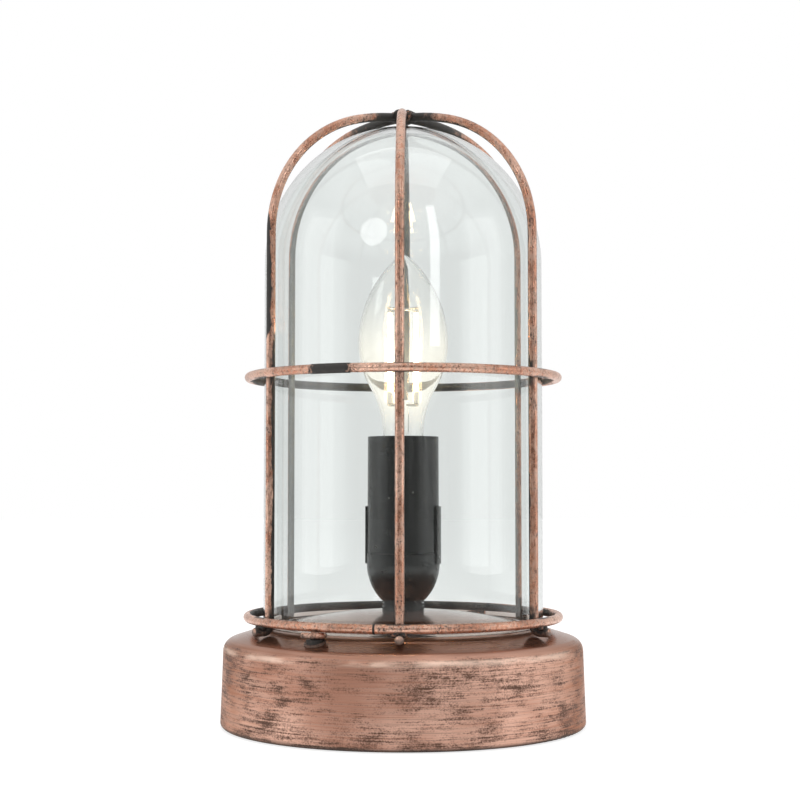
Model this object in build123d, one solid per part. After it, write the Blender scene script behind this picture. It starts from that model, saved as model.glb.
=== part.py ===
from build123d import *
import math
import os

# A caged table lamp: a spun copper base carries a lampholder with a candle bulb,
# a round-topped glass dome over the bulb and a wire cage over the glass.
# Millimetres, +Z up, the lamp's axis on Z, the table at Z = 0, the front towards -Y.
# An azimuth is counted from the front, and grows towards +X.

# Fits that many pieces share
overrun = 2.0             # how far a cutter runs past what it cuts
seat_gap = 0.2            # glass and cage above the pan that carries them
touch_gap = 0.05          # between pieces that are brazed, cemented or screwed tight
loose_fit = 0.3           # between pieces that drop into each other
hole_fit = 0.2            # around a screw in a clearance hole
axis_digits = 9           # decimals kept, so that a point on the axis lies exactly on it

# Base pan, spun from sheet
base_radius = 70.4        # outside, at the foot of the wall
wall_lean = 1.1           # how far the wall leans in on its way up
dome_top = 44.3           # outside height at the axis
dome_radius = 212.0       # crown radius of the domed top
shoulder_fillet = 5.0
pan_sheet = 1.0
rim_gap = 0.3             # rim above the table
rim_bend = 1.7            # outside bend where the wall turns in to the lip
lip_width = 7.0

# Base cover, its pillars, screws and felt pads
cover_thickness = 1.0
cover_recess = 1.0        # underside of the cover above the pan's rim
pillar_radius = 4.0
pillar_inset = 19.1       # from the cover's edge in to the middle of a pillar
pillar_azimuths = (0, 120, 240)
cover_screw_radius = 2.0
cover_screw_grip = 8.0    # thread length in the pillar
cover_screw_head_radius = 3.6
cover_screw_head = 0.9
pad_radius = 8.0
pad_inset = 5.1           # from the cover's edge in to a pad
pad_azimuths = (60, 180, 300)

# Cord inlet at the back of the wall
inlet_height = 11.0
grommet_bore = 3.4
grommet_barrel = 5.0
grommet_flange = 6.4
grommet_flange_thickness = 1.3
grommet_tail = 3.0        # how far the barrel reaches in past the inner flange

# Lampholder nipple with its lock washer and nut
nipple_radius = 5.0
nipple_bore = 3.6
nipple_grip = 9.0         # length inside the lampholder
nipple_tail = 11.0        # length below the pan
washer_radius = 8.5
washer_thickness = 0.8
nut_across_flats = 14.0
nut_thickness = 4.0

# Lampholder mouldings
holder_foot_radius = 8.2
holder_foot_height = 3.7
foot_groove = 0.7         # depth and height of the two grooves round the foot
bowl_radius = 14.2
bowl_neck_radius = 8.5
bowl_height = 14.0
bowl_rim = 4.0            # straight stretch above the bowl
bowl_wall = 2.9
skirt_radius = 14.0
skirt_taper = 0.2
skirt_height = 45.0
skirt_wall = 2.1
parting_gap = 0.15        # between the two mouldings
ledge_radius = 9.4        # opening of the ledge that holds the insert down
ledge_thickness = 2.0
latch_width = 8.0
latch_height = 18.0
latch_depth = 1.2         # how deep a latch lies in the skirt
latch_proud = 0.8         # how far it stands out of the skirt
latch_azimuth = 79.0

# Lampholder insert and contacts
insert_height = 16.8
terminal_radius = 2.5
terminal_height = 8.0
terminal_offset = 6.5
terminal_rim = 0.6        # terminals above the insert's underside
strip_thickness = 0.5
strip_width = 4.0
sleeve_strip_offset = 8.2
button_radius = 1.8

# Edison thread, size E14
thread_pitch = 2.822
cap_thread_radius = 6.95  # crest of the bulb's thread
cap_root_radius = 6.3
cap_wall = 0.6
thread_clearance = 0.22   # from the bulb's thread to the sleeve's, along a radius
ridge_root_width = 1.45
ridge_crest_width = 0.75
sleeve_wall = 0.5
sleeve_flange_radius = 9.0
sleeve_flange = 0.6
thread_turns = 3.5

# Candle bulb
bulb_length = 98.0
bulb_sunk = 25.6          # from the skirt's rim down to the bulb's centre contact
bulb_radius = 17.5
belly_below_tip = 35.7    # where the bulb is widest
bulb_neck_radius = 7.9
bulb_wall = 0.8
neck_overlap = 4.0        # glass inside the cap
neck_straight = 1.6       # straight glass above the cap
cap_length = 25.0         # centre contact to the top of the cap
contact_radius = 2.4
contact_height = 1.4
insulator_height = 3.2
insulator_top_radius = 5.4
flare_height = 4.9
thread_start = 6.4        # first ridge of the bulb above its centre contact

# Inside of the bulb
stem_radius = 2.0
stem_height = 15.0
stem_flare = 1.2
filament_radius = 0.9
filament_below_tip = 23.0     # heads of the filaments
filament_circle = 7.2
filament_azimuths = (45, 135, 225, 315)
filament_start = 13.5     # foot of the filaments above the cap
support_radius = 0.4
board_width = 7.0
board_thickness = 1.0
board_height = 9.0
capacitor_radius = 2.0
capacitor_height = 6.0

# Terminal block and wires inside the base
block_width = 20.0
block_depth = 16.0
block_height = 12.0
block_inset = 32.4        # from the back of the base in to the middle of the block
pole_offset = 5.0
pole_height = 6.4         # above the cover
barrel_radius = 1.95
barrel_bore = 1.35
pole_screw_radius = 1.2
pole_screw_offset = 4.6
block_screw_radius = 1.4
block_screw_grip = 4.0
block_screw_head_radius = 2.8
wire_jacket = 1.1
wire_in_nipple = 1.4      # from the axis to each wire inside the nipple
wire_bend = 3.5
wire_in_terminal = 4.0

# Glass dome
glass_radius = 54.2
glass_wall = 2.5
glass_height = 194.5

# Cage, bent from round wire
cage_wire = 1.7           # radius of the wire
cage_clearance = 0.7      # from the glass to the ribs
crown_clearance = 2.7     # from the top of the glass to the ribs
arch_lift = 9.0           # start of the arches above the middle of the glass's round top
arch_shoulder_share = 0.98
foot_bend = 2.5
foot_length = 6.6         # from the middle of a leg out to the tip of its foot
foot_round = 0.9          # rounding of the tip
base_ring_above_foot = 3.7
mid_ring_height = 134.0
hoop_azimuth = 60         # the one hoop that runs through; the other ribs end beside it
crown_weld_radius = 4.4
crown_weld_rise = 1.45    # weld above the wires

# Posts on the base, and the hooks of the cage that reach round them
post_azimuths = (-30.2, 149.8)
post_radius = 3.2
post_neck_radius = 1.6
post_tail_radius = 1.5
post_rivet_radius = 2.6
post_rivet = 1.4
post_chamfer = 0.4
post_washer_radius = 3.9
post_washer = 0.9
hook_wire = 1.1           # radius of the wire
hook_gap = 0.4            # from hook to post and from ring to post
hook_weld = 0.1           # from the bight of the hook to the ring above it
hook_tail = 3.4           # straight ends past the post


# Helpers
def turned(outline):
    return revolve(Plane.XZ * make_face(outline), Axis.Z)


def rod(radius, bottom, top):
    align = (Align.CENTER, Align.CENTER, Align.MIN)
    return Pos(0, 0, bottom) * Cylinder(radius, top - bottom, align=align)


def tube(outer, inner, bottom, top):
    return rod(outer, bottom, top) - rod(inner, bottom - overrun, top + overrun)


def taper(lower_radius, upper_radius, bottom, top):
    align = (Align.CENTER, Align.CENTER, Align.MIN)
    return Pos(0, 0, bottom) * Cone(lower_radius, upper_radius, top - bottom, align=align)


def block(width, depth, bottom, top):
    align = (Align.CENTER, Align.CENTER, Align.MIN)
    return Pos(0, 0, bottom) * Box(width, depth, top - bottom, align=align)


def around(piece, radius, azimuths):
    return [Rot(0, 0, azimuth) * Pos(0, -radius, 0) * piece for azimuth in azimuths]


def on_arc(centre, radius, degrees):
    angle = math.radians(degrees)
    across = centre[0] + radius * math.cos(angle)
    up = centre[1] + radius * math.sin(angle)
    return (round(across, axis_digits), round(up, axis_digits))


def arc(centre, radius, start, end):
    middle = (start + end) / 2
    return ThreePointArc(*[on_arc(centre, radius, degrees) for degrees in (start, middle, end)])


def far_arc(centre, radius, start, end):
    # For an arc whose centre lies past the axis: turned as a true arc it would cross itself.
    first = on_arc(centre, radius, start)
    last = on_arc(centre, radius, end)
    reach = radius * math.tan(math.radians(end - start) / 4) * 4 / 3
    after_first = on_arc(first, reach, start + 90)
    before_last = on_arc(last, reach, end - 90)
    return Bezier(first, after_first, before_last, last)


def along(path, radius):
    wire = path.wire()
    section = Plane(origin=wire @ 0, z_dir=wire % 0) * Circle(radius)
    return sweep(section, path=wire)


def dome_height(radius, inset=0):
    return dome_top - dome_radius + math.sqrt((dome_radius - inset) ** 2 - radius ** 2)


# Heights and radii that several pieces take from the sizes above
cover_bottom = rim_gap + cover_recess
cover_top = cover_bottom + cover_thickness
cover_radius = base_radius - lip_width - loose_fit
pillar_circle = cover_radius - pillar_inset
pad_circle = cover_radius - pad_inset - pad_radius
block_place = base_radius - block_inset        # middle of the block, behind the axis
bowl_bottom = dome_top + holder_foot_height
bowl_top = bowl_bottom + bowl_height
parting = bowl_top + bowl_rim
skirt_bottom = parting + parting_gap
skirt_top = skirt_bottom + skirt_height
skirt_bore = skirt_radius - skirt_wall
cavity_floor = dome_top + nipple_grip + loose_fit
insert_bottom = parting + touch_gap
insert_top = insert_bottom + insert_height
terminal_bottom = insert_bottom + terminal_rim
terminal_top = terminal_bottom + terminal_height
contact_bottom = skirt_top - bulb_sunk
insulator_bottom = contact_bottom + contact_height
shell_bottom = insulator_bottom + insulator_height
cap_top = contact_bottom + cap_length
neck_top = cap_top + neck_straight
bulb_tip = contact_bottom + bulb_length
belly_height = bulb_tip - belly_below_tip
filament_foot = cap_top + filament_start
filament_head = bulb_tip - filament_below_tip
pole_level = cover_top + pole_height
glass_bottom = dome_height(glass_radius - glass_wall) + seat_gap
glass_top = glass_bottom + glass_height
leg_radius = glass_radius + cage_clearance + cage_wire
ring_radius = leg_radius + 2 * cage_wire + touch_gap
crown = glass_top + crown_clearance + cage_wire
arch_spring = glass_top - glass_radius + arch_lift
foot_reach = leg_radius + foot_length
bend_reach = dome_radius + foot_bend + cage_wire + seat_gap
bend_height = dome_top - dome_radius + math.sqrt(bend_reach ** 2 - (leg_radius + foot_bend) ** 2)
foot_height = bend_height - foot_bend
base_ring_height = foot_height + base_ring_above_foot
hook_height = base_ring_height - cage_wire - hook_weld - hook_wire
post_circle = ring_radius
post_seat = dome_height(post_circle)
post_shoulder = hook_height - hook_wire - hook_gap
post_top = base_ring_height - cage_wire - hook_gap


# Base pan, cover and feet
def pan_form(inset):
    foot = base_radius - inset
    shoulder = base_radius - wall_lean - inset
    bottom = rim_gap + inset
    edge = (shoulder, dome_height(shoulder, inset))
    middle = (shoulder / 2, dome_height(shoulder / 2, inset))
    apex = (0, dome_height(0, inset))
    sides = Polyline(apex, (0, bottom), (foot, bottom), edge)
    face = make_face(sides + ThreePointArc(edge, middle, apex))
    face = fillet(face.vertices().sort_by_distance(edge)[0], shoulder_fillet - inset)
    face = fillet(face.vertices().sort_by_distance((foot, bottom))[0], rim_bend - inset)
    return revolve(Plane.XZ * face, Axis.Z)


def inlet_rod(radius, start, end):
    return Pos(0, 0, inlet_height) * Rot(-90, 0, 0) * rod(radius, start, end)


def base_pan():
    pan = pan_form(0) - pan_form(pan_sheet)
    pan -= rod(base_radius - lip_width, rim_gap - overrun, rim_gap + pan_sheet + overrun)
    pan -= rod(nipple_radius + hole_fit, dome_top - nipple_tail, dome_top + overrun)
    pan -= inlet_rod(grommet_barrel + touch_gap, base_radius - lip_width, base_radius + overrun)
    hole = rod(post_tail_radius + touch_gap, post_seat - pan_sheet - overrun, post_seat + overrun)
    for cutter in around(hole, post_circle, post_azimuths):
        pan -= cutter
    return pan


def base_cover():
    cover = rod(cover_radius, cover_bottom, cover_top)
    hole = rod(cover_screw_radius + hole_fit, cover_bottom - overrun, cover_top + overrun)
    for cutter in around(hole, pillar_circle, pillar_azimuths):
        cover -= cutter
    fixing = rod(block_screw_radius + hole_fit, cover_bottom - overrun, cover_top + overrun)
    return cover - Pos(0, block_place, 0) * fixing


def cover_pillars():
    pillar = rod(pillar_radius, cover_top, dome_top)
    tapping = cover_screw_radius + touch_gap
    pillar -= rod(tapping, cover_top - overrun, cover_top + cover_screw_grip + loose_fit)
    inside = pan_form(pan_sheet + touch_gap)
    return [piece & inside for piece in around(pillar, pillar_circle, pillar_azimuths)]


def headed_screw(radius, grip, head_radius):
    shank = rod(radius, cover_bottom, cover_top + grip)
    return shank + rod(head_radius, cover_bottom - cover_screw_head, cover_bottom)


def cover_screws():
    screw = headed_screw(cover_screw_radius, cover_screw_grip, cover_screw_head_radius)
    return around(screw, pillar_circle, pillar_azimuths)


def felt_pads():
    return around(rod(pad_radius, 0, cover_bottom), pad_circle, pad_azimuths)


def cord_grommet():
    wall = base_radius - pan_sheet / 2
    outer = wall + pan_sheet / 2 + grommet_flange_thickness
    inner = wall - pan_sheet / 2 - grommet_flange_thickness
    body = inlet_rod(grommet_barrel, inner - grommet_tail, outer)
    body += inlet_rod(grommet_flange, inner, outer)
    wall_ring = pan_form(-touch_gap) - pan_form(pan_sheet + touch_gap)
    wall_ring -= inlet_rod(grommet_barrel, inner, outer)
    return body - wall_ring - inlet_rod(grommet_bore, inner - grommet_tail - overrun, outer + overrun)


# Lampholder
def lampholder_nipple():
    return tube(nipple_radius, nipple_bore, dome_top - nipple_tail, dome_top + nipple_grip)


def nipple_seat():
    return dome_height(washer_radius, pan_sheet) - touch_gap


def nipple_washer():
    top = nipple_seat()
    return tube(washer_radius, nipple_radius + touch_gap, top - washer_thickness, top)


def nipple_nut():
    top = nipple_seat() - washer_thickness - touch_gap
    hexagon = RegularPolygon(nut_across_flats / 2, 6, major_radius=False)
    nut = Pos(0, 0, top - nut_thickness) * extrude(hexagon, nut_thickness)
    return nut - rod(nipple_radius + touch_gap, top - nut_thickness - overrun, top + overrun)


def bowl_arc(inset, bottom):
    width = bowl_radius - bowl_neck_radius
    radius = (width ** 2 + bowl_height ** 2) / (2 * width)
    centre = (bowl_radius - radius, bowl_top)
    start = -math.degrees(math.asin((bowl_top - bottom) / (radius - inset)))
    return far_arc(centre, radius - inset, start, 0)


def latches(clearance):
    inner = skirt_radius - latch_depth - clearance
    outer = skirt_radius + latch_proud + clearance
    top = skirt_bottom + latch_height + clearance
    ring = tube(outer, inner, parting - bowl_rim, top)
    bar = block(2 * outer + overrun, latch_width + 2 * clearance, parting - bowl_rim, top)
    return Rot(0, 0, latch_azimuth - 90) * (ring & bar)


def lampholder_cap():
    side = bowl_arc(0, bowl_bottom)
    rim = [side @ 1, (bowl_radius, parting), (0, parting)]
    foot = [(0, dome_top), (holder_foot_radius, dome_top), (holder_foot_radius, bowl_bottom), side @ 0]
    cap = turned(Polyline(*rim) + Polyline((0, parting), *foot) + side)
    hollow = bowl_arc(bowl_wall, cavity_floor)
    top = parting + overrun
    lid = [hollow @ 1, (bowl_radius - bowl_wall, top), (0, top), (0, cavity_floor), hollow @ 0]
    cap -= turned(Polyline(*lid) + hollow)
    cap -= rod(nipple_radius + touch_gap, dome_top - overrun, cavity_floor + overrun)
    step = holder_foot_height / 3
    groove_floor = holder_foot_radius - foot_groove
    for level in (dome_top + step, dome_top + 2 * step):
        cap -= tube(holder_foot_radius + overrun, groove_floor, level, level + foot_groove)
    return cap + latches(0)


def lampholder_skirt():
    rim_radius = skirt_radius - skirt_taper
    outside = [(skirt_radius, skirt_bottom), (rim_radius, skirt_top)]
    skirt = turned(Polyline((0, skirt_bottom), *outside, (0, skirt_top), close=True))
    ledge_bottom = insert_top + touch_gap
    skirt -= rod(skirt_bore, skirt_bottom - overrun, ledge_bottom)
    skirt -= rod(ledge_radius, ledge_bottom - overrun, skirt_top + overrun)
    skirt -= rod(skirt_bore, ledge_bottom + ledge_thickness, skirt_top + overrun)
    return skirt - latches(hole_fit)


def lampholder_insert():
    insert = rod(skirt_bore - loose_fit, insert_bottom, insert_top)
    pocket = rod(terminal_radius + hole_fit, insert_bottom - overrun, terminal_top + hole_fit)
    for side in (-1, 1):
        insert -= Pos(side * terminal_offset, 0, 0) * pocket
    slot = block(strip_thickness + hole_fit, strip_width + hole_fit, terminal_top, insert_top + overrun)
    insert -= Pos(-terminal_offset, 0, 0) * slot
    return insert - Pos(sleeve_strip_offset, 0, 0) * slot


def holder_terminals():
    socket = rod(terminal_radius, terminal_bottom, terminal_top)
    depth = terminal_bottom + wire_in_terminal + hole_fit
    socket -= rod(wire_jacket + hole_fit, terminal_bottom - overrun, depth)
    return [Pos(side * terminal_offset, 0, 0) * socket for side in (-1, 1)]


def centre_contact_spring():
    foot = terminal_top + touch_gap
    level = insert_top + touch_gap
    leg = block(strip_thickness, strip_width, foot, level + strip_thickness)
    reach = terminal_offset + strip_width / 2 + strip_thickness / 2
    tongue = block(reach, strip_width, level, level + strip_thickness)
    tongue = Pos(strip_width / 2 - reach / 2, 0, 0) * tongue
    button = rod(button_radius, level, contact_bottom - seat_gap)
    return Pos(-terminal_offset, 0, 0) * leg + tongue + button


def sleeve_contact():
    strip = block(strip_thickness, strip_width, terminal_top + touch_gap, insert_top)
    return Pos(sleeve_strip_offset, 0, 0) * strip


def thread_ridge(root, crest, start, sink):
    path = Helix(thread_pitch, thread_pitch * thread_turns, root, center=(0, 0, start))
    depth = crest - root
    base = ridge_root_width / 2
    tip = ridge_crest_width / 2
    corners = [(sink, -base), (depth, -tip), (depth, tip), (sink, base)]
    plane = Plane(origin=path @ 0, x_dir=(1, 0, 0), z_dir=path % 0)
    section = plane * make_face(Polyline(*corners, close=True))
    return sweep(section, path=path, is_frenet=True)


def thread_sleeve():
    bore = cap_thread_radius + thread_clearance
    bottom = insert_top + touch_gap
    ridge_start = contact_bottom + thread_start + thread_pitch / 2
    top = ridge_start + thread_pitch * thread_turns + ridge_root_width
    sleeve = tube(bore + sleeve_wall, bore, bottom, top)
    sleeve += tube(sleeve_flange_radius, bore, bottom, bottom + sleeve_flange)
    return sleeve + thread_ridge(bore, cap_root_radius + thread_clearance, ridge_start, sleeve_wall / 2)


# Terminal block and wires inside the base
def terminal_block():
    top = cover_top + block_height
    body = Pos(0, block_place, 0) * block(block_width, block_depth, cover_top, top)
    for side in (-1, 1):
        body -= Pos(side * pole_offset, 0, 0) * barrel_rod(barrel_radius + touch_gap, overrun)
    well = rod(pole_screw_radius + hole_fit, pole_level, top + overrun)
    for place in pole_screw_places():
        body -= Pos(*place, 0) * well
    tapping = block_screw_radius + touch_gap
    hole = rod(tapping, cover_top - overrun, cover_top + block_screw_grip + loose_fit)
    return body - Pos(0, block_place, 0) * hole


def barrel_rod(radius, past):
    reach = block_depth / 2 + past
    return Pos(0, block_place, pole_level) * Rot(-90, 0, 0) * rod(radius, -reach, reach)


def pole_screw_places():
    rows = (block_place - pole_screw_offset, block_place + pole_screw_offset)
    return [(side * pole_offset, row) for side in (-1, 1) for row in rows]


def terminal_barrels():
    bare_barrel = barrel_rod(barrel_radius, 0) - barrel_rod(barrel_bore, overrun)
    tapping = rod(pole_screw_radius + touch_gap, pole_level, pole_level + barrel_radius + overrun)
    barrels = []
    for side in (-1, 1):
        barrel = Pos(side * pole_offset, 0, 0) * bare_barrel
        for place in pole_screw_places():
            barrel -= Pos(*place, 0) * tapping
        barrels.append(barrel)
    return barrels


def terminal_screws():
    screw = rod(pole_screw_radius, pole_level + barrel_bore, cover_top + block_height - loose_fit)
    return [Pos(*place, 0) * screw for place in pole_screw_places()]


def terminal_block_screw():
    screw = headed_screw(block_screw_radius, block_screw_grip, block_screw_head_radius)
    return Pos(0, block_place, 0) * screw


def lamp_wire(side):
    face = block_place - block_depth / 2
    pole = side * pole_offset
    middle = side * wire_in_nipple
    terminal = side * terminal_offset
    below_nipple = (pole_level + dome_top - nipple_tail) / 2
    below_terminal = parting - wire_in_terminal / 2
    points = [(pole, face + wire_in_terminal, pole_level), (pole, face / 2, pole_level)]
    points += [(middle, 0, below_nipple), (middle, 0, cavity_floor + loose_fit)]
    points += [(terminal, 0, below_terminal), (terminal, 0, terminal_bottom + wire_in_terminal)]
    return along(FilletPolyline(*points, radius=wire_bend), wire_jacket)


# Bulb
def bulb_form(inset, bottom):
    narrowing = (bulb_radius - bulb_neck_radius) / 2
    climb = (belly_height - neck_top) / 2
    curve = (narrowing ** 2 + climb ** 2) / (2 * narrowing)
    sweep_angle = math.degrees(math.asin(climb / curve))
    neck = arc((bulb_neck_radius + curve, neck_top), curve + inset, 180, 180 - sweep_angle)
    belly = far_arc((bulb_radius - curve, belly_height), curve - inset, -sweep_angle, 0)
    flame = (bulb_radius ** 2 + belly_below_tip ** 2) / (2 * bulb_radius)
    tip_angle = math.degrees(math.acos((flame - bulb_radius) / (flame - inset)))
    point = far_arc((bulb_radius - flame, belly_height), flame - inset, 0, tip_angle)
    foot = Polyline(point @ 1, (0, bottom), (bulb_neck_radius - inset, bottom), neck @ 0)
    return turned(foot + neck + belly + point)


def bulb_envelope():
    bottom = cap_top - neck_overlap
    return bulb_form(0, bottom) - bulb_form(bulb_wall, bottom - overrun)


def bulb_cap():
    flare_bottom = cap_top - flare_height
    flare_top = cap_top - neck_overlap
    bore = cap_root_radius - cap_wall
    inner = bulb_neck_radius + touch_gap
    shell = tube(cap_root_radius, bore, shell_bottom, flare_bottom)
    shell += tube(inner + cap_wall, inner, flare_top - cap_wall, cap_top)
    collar = taper(cap_root_radius, inner + cap_wall, flare_bottom, flare_top)
    collar -= rod(bore, flare_bottom - overrun, cap_top)
    start = contact_bottom + thread_start
    return shell + collar + thread_ridge(cap_root_radius, cap_thread_radius, start, -cap_wall / 2)


def bulb_insulator():
    bottom = insulator_bottom + touch_gap
    return taper(contact_radius + loose_fit, insulator_top_radius, bottom, bottom + insulator_height)


def bulb_contact():
    button = rod(contact_radius, contact_bottom, insulator_bottom)
    lower = button.edges().filter_by(GeomType.CIRCLE).sort_by(Axis.Z)[0]
    return fillet(lower, contact_height / 2)


def bulb_stem():
    foot = cap_top - neck_overlap
    stem = rod(stem_radius, foot, cap_top + stem_height)
    return stem + rod(bulb_neck_radius - bulb_wall - touch_gap, foot, foot + stem_flare)


def led_filaments():
    stick = rod(filament_radius, filament_foot, filament_head)
    return around(stick, filament_circle, filament_azimuths)


def spoke(azimuth, height, start):
    run = rod(support_radius, start, filament_circle + filament_radius)
    return Pos(0, 0, height) * Rot(0, 0, azimuth) * Rot(90, 0, 0) * run


def filament_supports():
    stem_top = cap_top + stem_height
    head = filament_head + support_radius + touch_gap
    mast = rod(support_radius, stem_top + touch_gap, head + support_radius)
    for azimuth in filament_azimuths:
        mast += spoke(azimuth, head, 0)
    foot = filament_foot - support_radius - touch_gap
    leads = [spoke(azimuth, foot, stem_radius + touch_gap) for azimuth in filament_azimuths]
    return [mast, *leads]


def led_driver():
    bottom = shell_bottom + loose_fit
    board = block(board_width, board_thickness, bottom, bottom + board_height)
    capacitor = rod(capacitor_radius, bottom, bottom + capacitor_height)
    aside = capacitor_radius + board_thickness / 2 + touch_gap
    return [board, Pos(0, aside, 0) * capacitor]


# Glass dome
def glass_form(inset, bottom):
    middle = glass_top - glass_radius
    radius = glass_radius - inset
    top = arc((0, middle), radius, 0, 90)
    return turned(Polyline(top @ 1, (0, bottom), (radius, bottom), top @ 0) + top)


def glass_dome():
    return glass_form(0, glass_bottom) - glass_form(glass_wall, glass_bottom - overrun)


# Cage
front_plane = Plane(origin=(0, 0, 0), x_dir=(0, -1, 0), z_dir=(-1, 0, 0))
rib_turns = {"front": -60, "right": 60, "back": 120, "left": 240}    # from the hoop


def leg_path():
    bend = (leg_radius + foot_bend, foot_height + foot_bend)
    curve = arc(bend, foot_bend, 180, 270)
    return Line((leg_radius, arch_spring), curve @ 0) + curve + Line(curve @ 1, (foot_reach, foot_height))


def arch_shape():
    rise = crown - arch_spring
    shoulder = rise * arch_shoulder_share
    inset = leg_radius - shoulder
    top = (inset ** 2 + rise ** 2 - shoulder ** 2) / (2 * (rise - shoulder))
    centre = (0, crown - top)
    join = math.degrees(math.atan2(arch_spring - centre[1], inset))
    return arc((inset, arch_spring), shoulder, 0, join), centre, top, join


def hoop_path():
    shoulder, centre, top, join = arch_shape()
    half = leg_path() + shoulder
    return half + arc(centre, top, join, 180 - join) + mirror(half, about=Plane.YZ)


def rib_path(turn):
    # A rib is turned away from the hoop that runs through, and ends beside it and its neighbour.
    shoulder, centre, top, join = arch_shape()
    angle = math.radians(turn)
    stop = cage_wire * (1 + abs(math.cos(angle))) / abs(math.sin(angle)) + touch_gap
    end = math.degrees(math.acos(stop / top))
    return leg_path() + shoulder + arc(centre, top, join, end)


def bent_wire(path, turn):
    # The wire's cut ends are rounded at the feet, and stay flat at the crown.
    wire = along(front_plane * path, cage_wire)
    ends = wire.edges().filter_by(GeomType.CIRCLE)
    tips = [edge for edge in ends if abs(edge.center().Y) > foot_reach - foot_round]
    return Rot(0, 0, hoop_azimuth + turn) * fillet(tips, foot_round)


def crown_weld():
    top = crown + cage_wire + crown_weld_rise
    height = top - crown
    radius = (crown_weld_radius ** 2 + height ** 2) / (2 * height)
    edge = math.degrees(math.asin((radius - height) / radius))
    dome = arc((0, top - radius), radius, edge, 90)
    lump = turned(Polyline(dome @ 1, (0, crown), dome @ 0) + dome)
    wires = {0: hoop_path()} | {turn: rib_path(turn) for turn in rib_turns.values()}
    for turn, path in wires.items():
        lump -= Rot(0, 0, hoop_azimuth + turn) * along(front_plane * path, cage_wire + touch_gap)
    return lump


def cage_ring(height):
    return Pos(0, 0, height) * Torus(ring_radius, cage_wire)


def cage_hook(azimuth):
    bight = post_neck_radius + hook_gap + hook_wire
    rows = (bight - post_circle, -bight - post_circle)
    tips = [(-hook_tail, row, hook_height) for row in rows]
    turns = [(0, row, hook_height) for row in rows]
    round_end = ThreePointArc(turns[0], (bight, -post_circle, hook_height), turns[1])
    path = Line(tips[0], turns[0]) + round_end + Line(turns[1], tips[1])
    return Rot(0, 0, azimuth) * along(path, hook_wire)


# Posts on the base
def locating_posts():
    head = rod(post_radius, post_seat - pan_sheet - overrun, post_shoulder)
    neck = rod(post_neck_radius, post_shoulder - overrun, post_top)
    neck = chamfer(neck.edges().filter_by(GeomType.CIRCLE).sort_by(Axis.Z)[-1], post_chamfer)
    rivet_end = post_seat - pan_sheet - 2 * post_rivet
    rivet = rod(post_rivet_radius, rivet_end, post_seat)
    tail = rod(post_tail_radius, rivet_end, post_shoulder)
    above = pan_form(-touch_gap)
    below = pan_form(pan_sheet + touch_gap)
    posts = []
    parts = zip(*[around(piece, post_circle, post_azimuths) for piece in (head, neck, rivet, tail)])
    for head_here, neck_here, rivet_here, tail_here in parts:
        posts.append((head_here - above) + (neck_here - above) + (rivet_here & below) + tail_here)
    return posts


def post_washers():
    slope = math.degrees(math.asin(post_circle / dome_radius))
    disc = rod(post_washer_radius, touch_gap, touch_gap + post_washer)
    disc = Pos(0, -post_circle, post_seat) * Rot(slope, 0, 0) * disc
    disc -= Pos(0, -post_circle, 0) * rod(post_radius + touch_gap, 0, post_top)
    return around(disc, 0, post_azimuths)


# One file for each node
def nodes():
    yield "base_pan", base_pan()
    yield "base_cover", base_cover()
    yield "cover_pillars", cover_pillars()
    yield "cover_screws", cover_screws()
    yield "felt_pads", felt_pads()
    yield "cord_grommet", cord_grommet()
    yield "lampholder_nipple", lampholder_nipple()
    yield "nipple_washer", nipple_washer()
    yield "nipple_nut", nipple_nut()
    yield "lampholder_cap", lampholder_cap()
    yield "lampholder_skirt", lampholder_skirt()
    yield "lampholder_insert", lampholder_insert()
    yield "holder_terminals", holder_terminals()
    yield "centre_contact_spring", centre_contact_spring()
    yield "sleeve_contact", sleeve_contact()
    yield "thread_sleeve", thread_sleeve()
    yield "terminal_block", terminal_block()
    yield "terminal_barrels", terminal_barrels()
    yield "terminal_screws", terminal_screws()
    yield "terminal_block_screw", terminal_block_screw()
    yield "live_wire", lamp_wire(-1)
    yield "neutral_wire", lamp_wire(1)
    yield "locating_posts", locating_posts()
    yield "post_washers", post_washers()
    yield "bulb_envelope", bulb_envelope()
    yield "bulb_cap", bulb_cap()
    yield "bulb_insulator", bulb_insulator()
    yield "bulb_contact", bulb_contact()
    yield "bulb_stem", bulb_stem()
    yield "led_filaments", led_filaments()
    yield "filament_supports", filament_supports()
    yield "led_driver", led_driver()
    yield "glass_dome", glass_dome()
    yield "cage_hoop", bent_wire(hoop_path(), 0)
    for side, turn in rib_turns.items():
        yield f"cage_{side}_rib", bent_wire(rib_path(turn), turn)
    yield "cage_crown_weld", crown_weld()
    yield "cage_mid_ring", cage_ring(mid_ring_height)
    yield "cage_base_ring", cage_ring(base_ring_height)
    yield "cage_front_hook", cage_hook(post_azimuths[0])
    yield "cage_back_hook", cage_hook(post_azimuths[1])


os.makedirs("parts", exist_ok=True)
for name, shape in nodes():
    if isinstance(shape, list):
        shape = Compound(children=[solid for piece in shape for solid in piece.solids()])
    export_step(shape, f"parts/{name}.step")
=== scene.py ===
import math

import bmesh
import bpy
from bpy.props import FloatProperty, FloatVectorProperty, IntProperty, PointerProperty
from mathutils import Matrix, Vector, noise


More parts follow.
